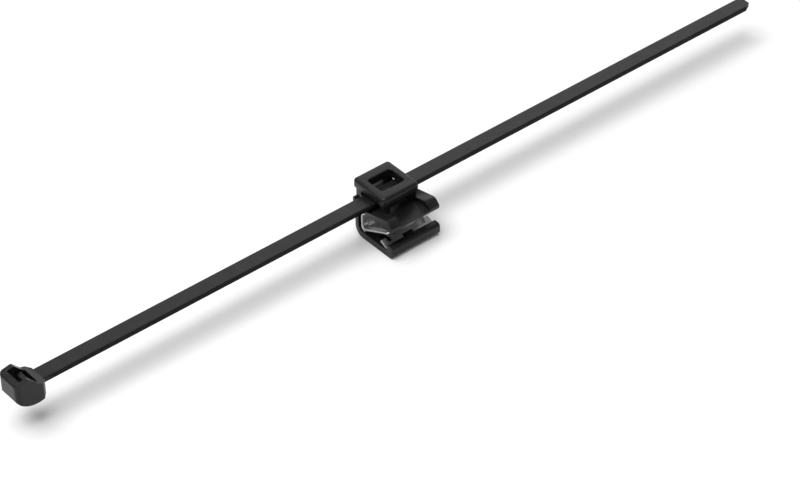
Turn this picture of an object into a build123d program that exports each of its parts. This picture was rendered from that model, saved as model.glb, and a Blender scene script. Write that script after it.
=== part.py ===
"""Panel-edge cable clip: a moulded jaw with a steel spring in it, and a cable tie in its saddle.

Millimetres, +Z up. The origin is on the surface that the clip rests on, under the middle of
the saddle, where the tie crosses. X runs along the tie. The jaw opens towards -Y.
"""

import os

from build123d import *

os.makedirs("parts", exist_ok=True)

# ---- cable tie ----
strap_width = 4.8
strap_thickness = 1.3
strap_edge = 0.4
strap_top = 12.1
tip_end_x = 132.5
tip_taper = 2.1
tip_width = 2.6
head_front_x = -110.4
head_length = 8.9
head_width = 8.0
head_step_x = -112.9
head_step_rise = 0.8
head_peak_x = -115.4
head_rise = 3.5
head_back_drop = 0.7
head_back_height = 5.0
head_depth = 4.2
head_belly_back = 4.1
head_belly_drop = 0.6
head_round = 0.8
head_edge = 1.5
head_front_chamfer = 1.2
slot_length = 5.3
slot_width = 5.0
slot_back_wall = 1.8
pawl_width = 4.5
pawl_thickness = 1.3
pawl_gap = 1.1
pawl_lean = 0.25
pawl_root_rise = 1.0
pawl_root_height = 1.2
pawl_height = 4.3

# ---- clip body ----
body_length = 16.3
back_y = 3.2
wall = 1.25
floor_thickness = 1.9
deck_top = 9.7
deck_thickness = 1.1
rear_radius = 3.0
nose_y = -11.6
nose_drop = 0.25
nose_slope_start = -5.0
nose_radius = 0.45
lip_front_y = -11.9
lip_back_y = -9.6
lip_top = 3.75
lip_crown = 2.1
lip_step = 0.45
lip_radius = 0.9
lip_foot_radius = 1.5
wing_length = 3.25
wing_rise = 1.9
wing_start_rise = 0.2
wing_start_y = -2.2
wing_crest_y = -10.0
curb_length = 1.6
curb_depth = 0.9
curb_rise = 1.9

# ---- saddle on the clip body ----
cap_length = 12.2
cap_width = 12.9
cap_y = 0.3
cap_thickness = 2.4
cap_corner = 1.1
cap_edge = 0.9
window_length = 7.7
window_width = 6.2
window_corner = 0.8
window_edge = 0.3
post_size = 2.0
post_inset = 0.7
saddle_plate = 2.6
pad_length = 6.6
pad_width = 6.0
strap_to_pad = 0.05
strap_to_cap = 0.7

# ---- spring insert ----
sheet = 0.45
spring_end_gap = 0.15
spring_to_body = 0.1
bend_gap = 1.0
bend_radius = 1.5
upper_leaf_width = 12.4
upper_leaf_reach = 9.3
leaf_bottom = 2.2
crest_y = -6.9
crest_z = 3.12
flap_end_y = -9.2
flap_end_z = 2.15
tongue_width = 1.7
tongue_tip_y = -9.5
tongue_tip_z = 7.2
relief_width = 1.2
relief_end_y = -8.3
notch_width = 3.5
notch_depth = 1.5

# ---- worked out ----
strap_bottom = strap_top - strap_thickness
ceiling = deck_top - deck_thickness
inner_back_y = back_y - wall
wing_inner = body_length / 2 - wing_length
cap_bottom = strap_top + strap_to_cap
pad_top = strap_bottom - strap_to_pad
post_spacing_x = cap_length - 2 * post_inset - post_size
post_spacing_y = cap_width - 2 * post_inset - post_size
plate_length = cap_length - 2 * post_inset
plate_width = cap_y + cap_width / 2 - post_inset - inner_back_y
head_bottom = strap_top - head_depth
head_top = strap_top + head_rise
head_back_x = head_front_x - head_length
head_back_top = head_top - head_back_drop
head_cut = head_length + head_depth + head_rise
slot_back_x = head_back_x + slot_back_wall
slot_front_x = slot_back_x + slot_width
pawl_x = slot_front_x - pawl_gap
spring_length = body_length - 2 * spring_end_gap
leaf_top = ceiling - spring_to_body
bend_y = inner_back_y - bend_gap
tongue_x = spring_length / 2 - tongue_width / 2
relief_x = spring_length / 2 - tongue_width - relief_width / 2
window_back_y = bend_y - bend_radius


def corner(sketch, across, up):
    """The sketch's vertex that lies nearest to a point."""
    return sketch.vertices().sort_by_distance((across, up))[0]


# ---- clip body: jaw, wings, saddle, cap ----
jaw_outline = [
    (back_y, deck_top),
    (back_y, 0),
    (lip_front_y, 0),
    (lip_front_y, lip_top),
    (lip_front_y + lip_crown, lip_top),
    (lip_back_y, floor_thickness + lip_step),
    (lip_back_y, floor_thickness),
    (inner_back_y, floor_thickness),
    (inner_back_y, ceiling),
    (nose_y, ceiling),
    (nose_y, deck_top - nose_drop),
    (nose_slope_start, deck_top),
]

wing_outline = [
    (wing_start_y, ceiling),
    (wing_start_y, deck_top + wing_start_rise),
    (wing_crest_y, deck_top + wing_rise),
    (nose_y, deck_top + wing_start_rise),
    (nose_y, ceiling),
]

with BuildPart() as clip_body:
    with BuildSketch(Plane.YZ) as jaw:
        with BuildLine():
            Polyline(*jaw_outline, close=True)
        make_face()
        fillet(corner(jaw, back_y, 0), rear_radius)
        fillet(corner(jaw, inner_back_y, floor_thickness), rear_radius - wall)
        fillet(corner(jaw, inner_back_y, ceiling), wall)
        fillet(corner(jaw, lip_front_y, 0), lip_foot_radius)
        fillet(corner(jaw, lip_front_y, lip_top), lip_radius)
        fillet(corner(jaw, nose_y, ceiling), nose_radius)
    extrude(amount=body_length / 2, both=True)

    # a raised wing at each end of the upper arm
    for side in (-1, 1):
        with BuildSketch(Plane.YZ.offset(side * wing_inner)) as wing:
            with BuildLine():
                Polyline(*wing_outline, close=True)
            make_face()
            fillet(corner(wing, wing_crest_y, deck_top + wing_rise), wing_rise)
            fillet(corner(wing, nose_y, deck_top + wing_start_rise), nose_radius)
            fillet(corner(wing, nose_y, ceiling), nose_radius)
        extrude(amount=side * wing_length)

    # curbs that keep the strap on the deck
    with BuildSketch(Plane.XY.offset(ceiling)):
        with Locations((0, back_y + curb_depth / 2)):
            with GridLocations(body_length - curb_length, 0, 2, 1):
                Rectangle(curb_length, curb_depth)
    extrude(amount=deck_thickness + curb_rise)

    # saddle: plate behind the jaw, pad under the strap, four corner posts and the cap
    with BuildSketch(Plane.XY.offset(pad_top)):
        with Locations((0, inner_back_y)):
            Rectangle(plate_length, plate_width, align=(Align.CENTER, Align.MIN))
    extrude(amount=-saddle_plate)
    with BuildSketch(Plane.XY.offset(deck_top)):
        Rectangle(pad_length, pad_width)
    extrude(amount=pad_top - deck_top)
    with BuildSketch(Plane.XY.offset(deck_top)):
        with Locations((0, cap_y)):
            with GridLocations(post_spacing_x, post_spacing_y, 2, 2):
                Rectangle(post_size, post_size)
    extrude(amount=cap_bottom - deck_top)
    with BuildSketch(Plane.XY.offset(cap_bottom)):
        with Locations((0, cap_y)):
            RectangleRounded(cap_length, cap_width, cap_corner)
            RectangleRounded(window_length, window_width, window_corner, mode=Mode.SUBTRACT)
    extrude(amount=cap_thickness)
    fillet(clip_body.faces().sort_by(Axis.Z)[-1].outer_wire().edges(), cap_edge)
    fillet(clip_body.faces().sort_by(Axis.Z)[-1].inner_wires()[0].edges(), window_edge)

clip_body.part.label = "clip_body"
export_step(clip_body.part, "parts/clip_body.step")

# ---- spring insert: one bent sheet, open towards the mouth ----
sheet_path = [
    (-upper_leaf_reach, leaf_top),
    (bend_y, leaf_top),
    (bend_y, leaf_bottom),
    (crest_y, crest_z),
    (flap_end_y, flap_end_z),
]
tongue_path = [
    (bend_y, leaf_bottom + 2 * bend_radius),
    (bend_y, leaf_bottom),
    (tongue_tip_y, tongue_tip_z),
]

front = (Align.CENTER, Align.MAX)

with BuildPart() as spring_insert:
    with BuildSketch(Plane.YZ):
        with BuildLine():
            FilletPolyline(*sheet_path, radius=bend_radius)
            offset(amount=sheet, side=Side.RIGHT)
        make_face()
    extrude(amount=spring_length / 2, both=True)

    # the upper leaf is narrower than the bend and the lower leaf
    with BuildSketch(Plane.XY.offset(leaf_top)):
        with Locations((0, window_back_y)):
            Rectangle(spring_length, spring_length, align=front)
            Rectangle(upper_leaf_width, spring_length, align=front, mode=Mode.SUBTRACT)
    extrude(amount=-bend_radius - sheet, mode=Mode.SUBTRACT)

    # windows that the tongues are bent up from, and the relief slots beside them
    with BuildSketch(Plane.XY):
        for side in (-1, 1):
            with Locations((side * tongue_x, (window_back_y + crest_y) / 2)):
                Rectangle(tongue_width, window_back_y - crest_y)
            with Locations((side * relief_x, (window_back_y + relief_end_y) / 2)):
                SlotOverall(window_back_y - relief_end_y, relief_width, rotation=90)
    extrude(amount=crest_z + 2 * sheet, mode=Mode.SUBTRACT)

    # notch in the middle of the flap
    with BuildSketch(Plane.XY):
        with Locations((0, flap_end_y - sheet)):
            Rectangle(notch_width, notch_depth + sheet, align=(Align.CENTER, Align.MIN))
    extrude(amount=crest_z, mode=Mode.SUBTRACT)

    # tongues that grip the panel
    for side in (-1, 1):
        with BuildSketch(Plane.YZ.offset(side * tongue_x)):
            with BuildLine():
                FilletPolyline(*tongue_path, radius=bend_radius)
                offset(amount=sheet, side=Side.RIGHT)
            make_face()
        extrude(amount=tongue_width / 2, both=True)

spring_insert.part.label = "spring_insert"
export_step(spring_insert.part, "parts/spring_insert.step")

# ---- cable tie: a head with its pawl, and the strap ----
pawl_outline = [
    (slot_front_x, head_bottom + pawl_root_rise),
    (pawl_x - pawl_thickness, head_bottom + pawl_root_rise),
    (pawl_x - pawl_thickness - pawl_lean, head_bottom + pawl_root_rise + pawl_height),
    (pawl_x - pawl_lean, head_bottom + pawl_root_rise + pawl_height),
    (pawl_x, head_bottom + pawl_root_rise + pawl_root_height),
    (slot_front_x, head_bottom + pawl_root_rise + pawl_root_height),
]

head_side = [
    (head_front_x, head_bottom),
    (head_front_x, strap_top),
    (head_step_x, strap_top + head_step_rise),
    (head_peak_x, head_top),
    (head_back_x, head_back_top),
    (head_back_x, head_back_top - head_back_height),
]
belly = (head_back_x + head_belly_back, head_bottom - head_belly_drop)

with BuildPart() as cable_tie:
    # head: a D-shaped block that rises away from the strap
    with BuildSketch(Plane.XZ) as head:
        with BuildLine():
            Polyline(*head_side)
            ThreePointArc(head_side[-1], belly, head_side[0])
        make_face()
        for place in head_side[3:]:
            fillet(corner(head, *place), head_round)
    extrude(amount=head_width / 2, both=True)
    chamfer(cable_tie.edges().filter_by(Axis.Z).group_by(Axis.X)[-1], head_front_chamfer)
    with BuildSketch(Plane.XY.offset(head_bottom - head_length)):
        with Locations((head_back_x, 0)):
            Rectangle(head_length, head_width, align=(Align.MIN, Align.CENTER))
            RectangleRounded(
                2 * head_length,
                head_width,
                head_edge,
                align=(Align.MIN, Align.CENTER),
                mode=Mode.SUBTRACT,
            )
    extrude(amount=head_cut, mode=Mode.SUBTRACT)
    with BuildSketch(Plane.XY.offset(head_bottom - head_length)):
        with Locations((slot_back_x, 0)):
            Rectangle(slot_width, slot_length, align=(Align.MIN, Align.CENTER))
    extrude(amount=head_cut, mode=Mode.SUBTRACT)
    with BuildSketch(Plane.XZ):
        with BuildLine():
            Polyline(*pawl_outline, close=True)
        make_face()
    extrude(amount=pawl_width / 2, both=True)

    # strap: long edges rounded on top, corners cut off at the tip
    with BuildSketch(Plane.YZ.offset(head_front_x)) as section:
        with Locations((0, strap_top - strap_thickness / 2)):
            Rectangle(strap_width, strap_thickness)
        fillet(section.vertices().group_by(Axis.Y)[-1], strap_edge)
    extrude(amount=tip_end_x - head_front_x)
    for side in (-1, 1):
        with BuildSketch(Plane.XY.offset(strap_bottom)):
            with BuildLine():
                Polyline(
                    (tip_end_x - tip_taper, side * strap_width / 2),
                    (tip_end_x, side * strap_width / 2),
                    (tip_end_x, side * tip_width / 2),
                    close=True,
                )
            make_face()
        extrude(amount=strap_thickness, mode=Mode.SUBTRACT)

cable_tie.part.label = "cable_tie"
export_step(cable_tie.part, "parts/cable_tie.step")
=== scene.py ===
"""Looks of the panel-edge cable clip: satin black nylon, bright spring steel, pale floor."""

import math

import bmesh
import bpy
from mathutils import Matrix, Vector


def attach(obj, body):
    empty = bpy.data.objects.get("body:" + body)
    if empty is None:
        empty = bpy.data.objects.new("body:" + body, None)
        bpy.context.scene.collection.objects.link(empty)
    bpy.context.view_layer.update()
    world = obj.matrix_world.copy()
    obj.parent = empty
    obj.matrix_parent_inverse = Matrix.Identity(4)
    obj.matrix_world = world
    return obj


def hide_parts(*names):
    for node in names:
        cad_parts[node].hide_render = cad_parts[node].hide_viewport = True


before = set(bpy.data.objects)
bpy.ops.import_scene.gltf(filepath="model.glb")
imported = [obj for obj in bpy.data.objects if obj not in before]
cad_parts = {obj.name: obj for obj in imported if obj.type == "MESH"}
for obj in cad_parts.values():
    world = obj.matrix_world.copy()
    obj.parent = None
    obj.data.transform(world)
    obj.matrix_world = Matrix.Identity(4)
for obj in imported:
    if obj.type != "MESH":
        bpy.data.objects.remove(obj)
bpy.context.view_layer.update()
MM = 0.001


# ---- camera ----
LENS = 133.1
SENSOR = 36.0
CLIP_NEAR = 0.01
CLIP_FAR = 20.0
CAMERA_AT = Vector((-384.4, -467.6, 493.5)) * MM
CAMERA_FORWARD = Vector((0.49203, 0.5919, -0.63841))
CAMERA_ROLL = math.radians(0.504)


def make_camera():
    data = bpy.data.cameras.new("camera")
    data.lens = LENS
    data.sensor_width = SENSOR
    data.sensor_fit = "HORIZONTAL"
    data.clip_start = CLIP_NEAR
    data.clip_end = CLIP_FAR
    camera = bpy.data.objects.new("camera", data)
    forward = CAMERA_FORWARD.normalized()
    level = forward.cross(Vector((0, 0, 1))).normalized()
    right = Matrix.Rotation(CAMERA_ROLL, 3, forward) @ level
    up = right.cross(forward)
    axes = Matrix((right, up, -forward)).transposed()
    camera.matrix_world = Matrix.Translation(CAMERA_AT) @ axes.to_4x4()
    bpy.context.scene.collection.objects.link(camera)
    bpy.context.scene.camera = camera


def grey(value, tint=0.0):
    return (value, value, value + tint, 1.0)


# ---- light and floor ----
WORLD_LIGHT = 0.4
FLOOR_REACH = 6.0
FLOOR_SHADE = 0.9
FLOOR_ROUGH = 0.9
# Each lamp's name, place and disk size in metres, and power in watts. Both aim at the origin.
LAMPS = [
    ("overhead", (-0.3, 0.15, 1.05), 1.0, 11.8),
    ("back", (0.85, 1.01, 0.72), 1.1, 3.45),
]


def area_light(name, at, size, power):
    data = bpy.data.lights.new(name, "AREA")
    data.shape = "DISK"
    data.size = size
    data.energy = power
    lamp = bpy.data.objects.new(name, data)
    lamp.location = at
    lamp.rotation_euler = (-Vector(at)).to_track_quat("-Z", "Y").to_euler()
    bpy.context.scene.collection.objects.link(lamp)


def make_stage():
    world = bpy.data.worlds.new("studio")
    world.use_nodes = True
    background = world.node_tree.nodes["Background"]
    background.inputs["Color"].default_value = grey(1.0)
    background.inputs["Strength"].default_value = WORLD_LIGHT
    bpy.context.scene.world = world
    bpy.context.scene.view_settings.view_transform = "Standard"
    for lamp in LAMPS:
        area_light(*lamp)

    mesh = bpy.data.meshes.new("floor")
    signs = [(-1, -1), (1, -1), (1, 1), (-1, 1)]
    corners = [(x * FLOOR_REACH, y * FLOOR_REACH, 0) for x, y in signs]
    mesh.from_pydata(corners, [], [(0, 1, 2, 3)])
    floor = bpy.data.objects.new("floor", mesh)
    bpy.context.scene.collection.objects.link(floor)
    material = bpy.data.materials.new("pale_floor")
    material.use_nodes = True
    shader = material.node_tree.nodes["Principled BSDF"]
    shader.inputs["Base Color"].default_value = grey(FLOOR_SHADE)
    shader.inputs["Roughness"].default_value = FLOOR_ROUGH
    shader.inputs["Specular IOR Level"].default_value = 0.0
    mesh.materials.append(material)


# ---- sizes of the dressing ----
MERGE_REACH = 0.001 * MM
FLAT_ANGLE = math.radians(1.0)
EDGE_ANGLE = math.radians(28.0)
SHARP_ANGLE = math.radians(35.0)
BEVEL_SEGMENTS = 3
CLIP_ROUND = 0.16 * MM
SPRING_ROUND = 0.06 * MM
HEAD_ROUND = 0.3 * MM
SMALL_SHARE = 0.4
STRAP_FROM = -105.0 * MM
HEAD_TO = -110.5 * MM
RIM_HALF = 3.0 * MM
TOOTH_COUNT = 180
TOOTH_PITCH = 1.2 * MM
TOOTH_DEPTH = 0.4 * MM
TOOTH_LAND = 0.04 * MM
# Shares of the pitch where the gap beside a tooth is deepest and where it ends.
TOOTH_RISE = 0.15
TOOTH_FALL = 0.85
TEETH_START = -103.0 * MM
TEETH_HALF = 1.6 * MM

# ---- looks ----
# Noise scales are in cells a metre, and a stretch over 1 packs the cells closer along its axis.
NYLON_SHADE = 0.008
TIE_SHADE = 0.009
NYLON_ROUGH = 0.32
NYLON_SPECULAR = 0.24
DULL_SPECULAR = 0.05
DULL_FADE = 3.0 * MM
MARK_SCALE = 260.0
MARK_DEPTH = 0.1 * MM
SCUFF_SCALE = 900.0
SCUFF_STRETCH = (1.0, 5.0, 1.0)
SCUFF_SHARE = 0.5
CLOUD_SCALE = 1100.0
GRAIN_SCALE = 7000.0
GRAIN_DEPTH = 0.03 * MM
ROLLING_SCALE = 700.0
ROLLING_STRETCH = (0.12, 1.0, 1.0)
ROLLING_DEPTH = 0.01 * MM
SHEEN_SCALE = 220.0
STEEL_SHADES = (0.4, 0.5)
# Base colour of the painted highlight on steel faces turned to the front (-Y).
STEEL_PAINTED_HIGHLIGHT = 0.85
STEEL_ROUGH = (0.3, 0.42)


# ---- materials ----
class Nodes:
    """A short way to write a material's nodes."""

    def __init__(self, name):
        self.material = bpy.data.materials.new(name)
        self.material.use_nodes = True
        self.tree = self.material.node_tree
        self.shader = self.tree.nodes["Principled BSDF"]
        self.coordinates = self.add("ShaderNodeTexCoord")
        self.place = self.coordinates.outputs["Object"]

    def add(self, kind, **settings):
        node = self.tree.nodes.new(kind)
        for key, value in settings.items():
            setattr(node, key, value)
        return node

    def link(self, source, target):
        self.tree.links.new(source, target)

    def noise(self, scale, detail=3.0, stretch=None):
        node = self.add("ShaderNodeTexNoise")
        node.inputs["Scale"].default_value = scale
        node.inputs["Detail"].default_value = detail
        if stretch is None:
            self.link(self.place, node.inputs["Vector"])
        else:
            mapping = self.add("ShaderNodeMapping")
            mapping.inputs["Scale"].default_value = stretch
            self.link(self.place, mapping.inputs["Vector"])
            self.link(mapping.outputs["Vector"], node.inputs["Vector"])
        return node.outputs["Fac"]

    def ramp(self, source, stops):
        """A colour that runs between two stops, each a position and its colour."""
        node = self.add("ShaderNodeValToRGB")
        for element, (position, color) in zip(node.color_ramp.elements, stops):
            element.position = position
            element.color = color
        self.link(source, node.inputs["Fac"])
        return node.outputs["Color"]

    def combine(self, operation, first, second):
        node = self.add("ShaderNodeMath", operation=operation)
        self.link(first, node.inputs[0])
        self.link(second, node.inputs[1])
        return node.outputs["Value"]

    def axis(self, source, name):
        node = self.add("ShaderNodeSeparateXYZ")
        self.link(source, node.inputs["Vector"])
        return node.outputs[name]

    def span(self, source, low, high, source_low=0.0, source_high=1.0):
        node = self.add("ShaderNodeMapRange")
        node.inputs["From Min"].default_value = source_low
        node.inputs["From Max"].default_value = source_high
        node.inputs["To Min"].default_value = low
        node.inputs["To Max"].default_value = high
        self.link(source, node.inputs["Value"])
        return node.outputs["Result"]

    def mix(self, factor, share, first, second):
        """The first colour, with up to that share of the second one where the factor is high."""
        node = self.add("ShaderNodeMix", data_type="RGBA")
        self.link(self.span(factor, 0.0, share), node.inputs["Factor"])
        self.link(first, node.inputs["A"])
        node.inputs["B"].default_value = second
        return node.outputs["Result"]

    def bump(self, source, strength, distance, below=None):
        node = self.add("ShaderNodeBump")
        node.inputs["Strength"].default_value = strength
        node.inputs["Distance"].default_value = distance
        self.link(source, node.inputs["Height"])
        if below is not None:
            self.link(below, node.inputs["Normal"])
        return node.outputs["Normal"]


def black_nylon(name, shade, rough, dull_from=None):
    """Moulded nylon: fine grain, soft flow marks, and paler rubbed scuffs.

    Past dull_from along X, only what faces up is glossy.
    """
    n = Nodes(name)
    marks = n.noise(MARK_SCALE, 3.0)
    scuff_noise = n.noise(SCUFF_SCALE, 6.0, SCUFF_STRETCH)
    scuffs = n.ramp(scuff_noise, [(0.56, grey(0.0)), (0.74, grey(1.0))])
    tone = n.ramp(marks, [(0.3, grey(shade * 0.75)), (0.7, grey(shade * 1.3, 0.0004))])
    n.link(n.mix(scuffs, SCUFF_SHARE, tone, grey(shade * 2.6)), n.shader.inputs["Base Color"])
    clouds = n.span(n.noise(CLOUD_SCALE, 4.0), rough - 0.1, rough + 0.08)
    n.link(n.combine("ADD", clouds, n.span(scuffs, 0.0, 0.1)), n.shader.inputs["Roughness"])
    grain = n.bump(n.noise(GRAIN_SCALE, 3.0), 0.45, GRAIN_DEPTH)
    n.link(n.bump(marks, 0.25, MARK_DEPTH, grain), n.shader.inputs["Normal"])
    n.shader.inputs["Specular IOR Level"].default_value = NYLON_SPECULAR
    if dull_from is not None:
        turned = n.span(n.axis(n.coordinates.outputs["Normal"], "Z"), 1.0, 0.0, 0.2, 0.8)
        along = n.span(n.axis(n.place, "X"), 0.0, 1.0, dull_from, dull_from + DULL_FADE)
        dull = n.combine("MULTIPLY", turned, along)
        n.link(n.span(dull, NYLON_SPECULAR, DULL_SPECULAR), n.shader.inputs["Specular IOR Level"])
    return n.material


def spring_steel(name):
    """Stamped sheet: faint rolling lines along X, cloudy sheen, and a painted highlight: a brighter
    colour on faces turned to the front (-Y), toward the mouth.
    """
    n = Nodes(name)
    lines = n.noise(ROLLING_SCALE, 3.0, ROLLING_STRETCH)
    clouds = n.noise(SHEEN_SCALE, 3.0)
    # Painted highlight: faces whose normal points to the front (-Y) get a brighter base colour in
    # place of light.
    front_painted_light = n.span(n.axis(n.coordinates.outputs["Normal"], "Y"), 1.0, 0.0, -0.95, -0.5)
    low, high = STEEL_SHADES
    tone = n.ramp(clouds, [(0.3, grey(low)), (0.7, grey(high, 0.006))])
    n.link(n.mix(front_painted_light, 1.0, tone, grey(STEEL_PAINTED_HIGHLIGHT)), n.shader.inputs["Base Color"])
    n.shader.inputs["Metallic"].default_value = 1.0
    n.link(n.span(lines, *STEEL_ROUGH), n.shader.inputs["Roughness"])
    n.link(n.bump(lines, 0.1, ROLLING_DEPTH), n.shader.inputs["Normal"])
    return n.material


# ---- pieces ----
def is_edge(edge):
    return len(edge.link_faces) == 2 and edge.calc_face_angle(0.0) > EDGE_ANGLE


def rounded(node, name, body, material, width, share):
    """A copy of a CAD solid with rounded edges. The share function scales an edge's width."""
    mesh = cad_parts[node].data.copy()
    mesh.name = name
    work = bmesh.new()
    work.from_mesh(mesh)
    bmesh.ops.remove_doubles(work, verts=work.verts, dist=MERGE_REACH)
    bmesh.ops.dissolve_limit(work, angle_limit=FLAT_ANGLE, verts=work.verts, edges=work.edges)
    weights = work.edges.layers.float.new("bevel_weight_edge")
    for edge in work.edges:
        if is_edge(edge):
            edge[weights] = share((edge.verts[0].co + edge.verts[1].co) / 2)
    work.to_mesh(mesh)
    work.free()
    mesh.materials.clear()
    mesh.materials.append(material)
    mesh.polygons.foreach_set("use_smooth", [True] * len(mesh.polygons))
    piece = bpy.data.objects.new(name, mesh)
    bpy.context.scene.collection.objects.link(piece)
    bevel = piece.modifiers.new("bevel", "BEVEL")
    bevel.width = width
    bevel.segments = BEVEL_SEGMENTS
    bevel.limit_method = "WEIGHT"
    bevel.harden_normals = True
    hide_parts(node)
    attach(piece, body)
    return piece


def settle(piece):
    """Makes the modifiers' result the piece's own mesh."""
    shaped = piece.evaluated_get(bpy.context.evaluated_depsgraph_get())
    mesh = bpy.data.meshes.new_from_object(shaped)
    piece.modifiers.clear()
    piece.data = mesh


def tooth_cutter(bottom):
    """The space between the teeth, as one closed solid under the strap."""
    columns = []
    for count in range(TOOTH_COUNT):
        x = TEETH_START + count * TOOTH_PITCH
        columns.append((x, bottom + TOOTH_LAND))
        columns.append((x + TOOTH_RISE * TOOTH_PITCH, bottom + TOOTH_DEPTH))
        columns.append((x + TOOTH_FALL * TOOTH_PITCH, bottom + TOOTH_LAND))
    low = bottom - TOOTH_DEPTH
    near, far = -TEETH_HALF, TEETH_HALF
    vertices = []
    faces = []
    for x, z in columns:
        base = len(vertices)
        vertices += [(x, near, low), (x, far, low), (x, far, z), (x, near, z)]
        if base:
            ring = [(base - 4 + side, base - 4 + (side + 1) % 4) for side in range(4)]
            faces += [(first, second, second + 4, first + 4) for first, second in ring]
    faces += [(3, 2, 1, 0), tuple(len(vertices) - 4 + side for side in range(4))]
    mesh = bpy.data.meshes.new("tooth_cutter")
    mesh.from_pydata(vertices, [], faces)
    mesh.update()
    cutter = bpy.data.objects.new("tooth_cutter", mesh)
    bpy.context.scene.collection.objects.link(cutter)
    return cutter


def cut_teeth(tie):
    """Ratchet teeth in the strap's underside."""
    strap = [v.co for v in tie.data.vertices if v.co.x > STRAP_FROM]
    cutter = tooth_cutter(min(co.z for co in strap))
    cut = tie.modifiers.new("teeth", "BOOLEAN")
    cut.operation = "DIFFERENCE"
    cut.solver = "EXACT"
    cut.object = cutter
    settle(tie)
    bpy.data.objects.remove(cutter)
    tie.data.set_sharp_from_angle(angle=SHARP_ANGLE)
    even = tie.modifiers.new("even", "WEIGHTED_NORMAL")
    even.keep_sharp = True


def same_share(place):
    return 1.0


def head_share(place):
    """Wider rounding round the head's rim than on the strap, the slot and the pawl."""
    on_head = place.x < HEAD_TO and abs(place.y) > RIM_HALF
    return 1.0 if on_head else SMALL_SHARE


make_camera()
make_stage()
nylon = black_nylon("black_nylon", NYLON_SHADE, NYLON_ROUGH)
tie_nylon = black_nylon("tie_nylon", TIE_SHADE, NYLON_ROUGH, HEAD_TO)
steel = spring_steel("spring_steel")
rounded("clip_body", "clip_moulding", "clip", nylon, CLIP_ROUND, same_share)
rounded("spring_insert", "spring_sheet", "clip", steel, SPRING_ROUND, same_share)
cut_teeth(rounded("cable_tie", "tie_moulding", "tie", tie_nylon, HEAD_ROUND, head_share))
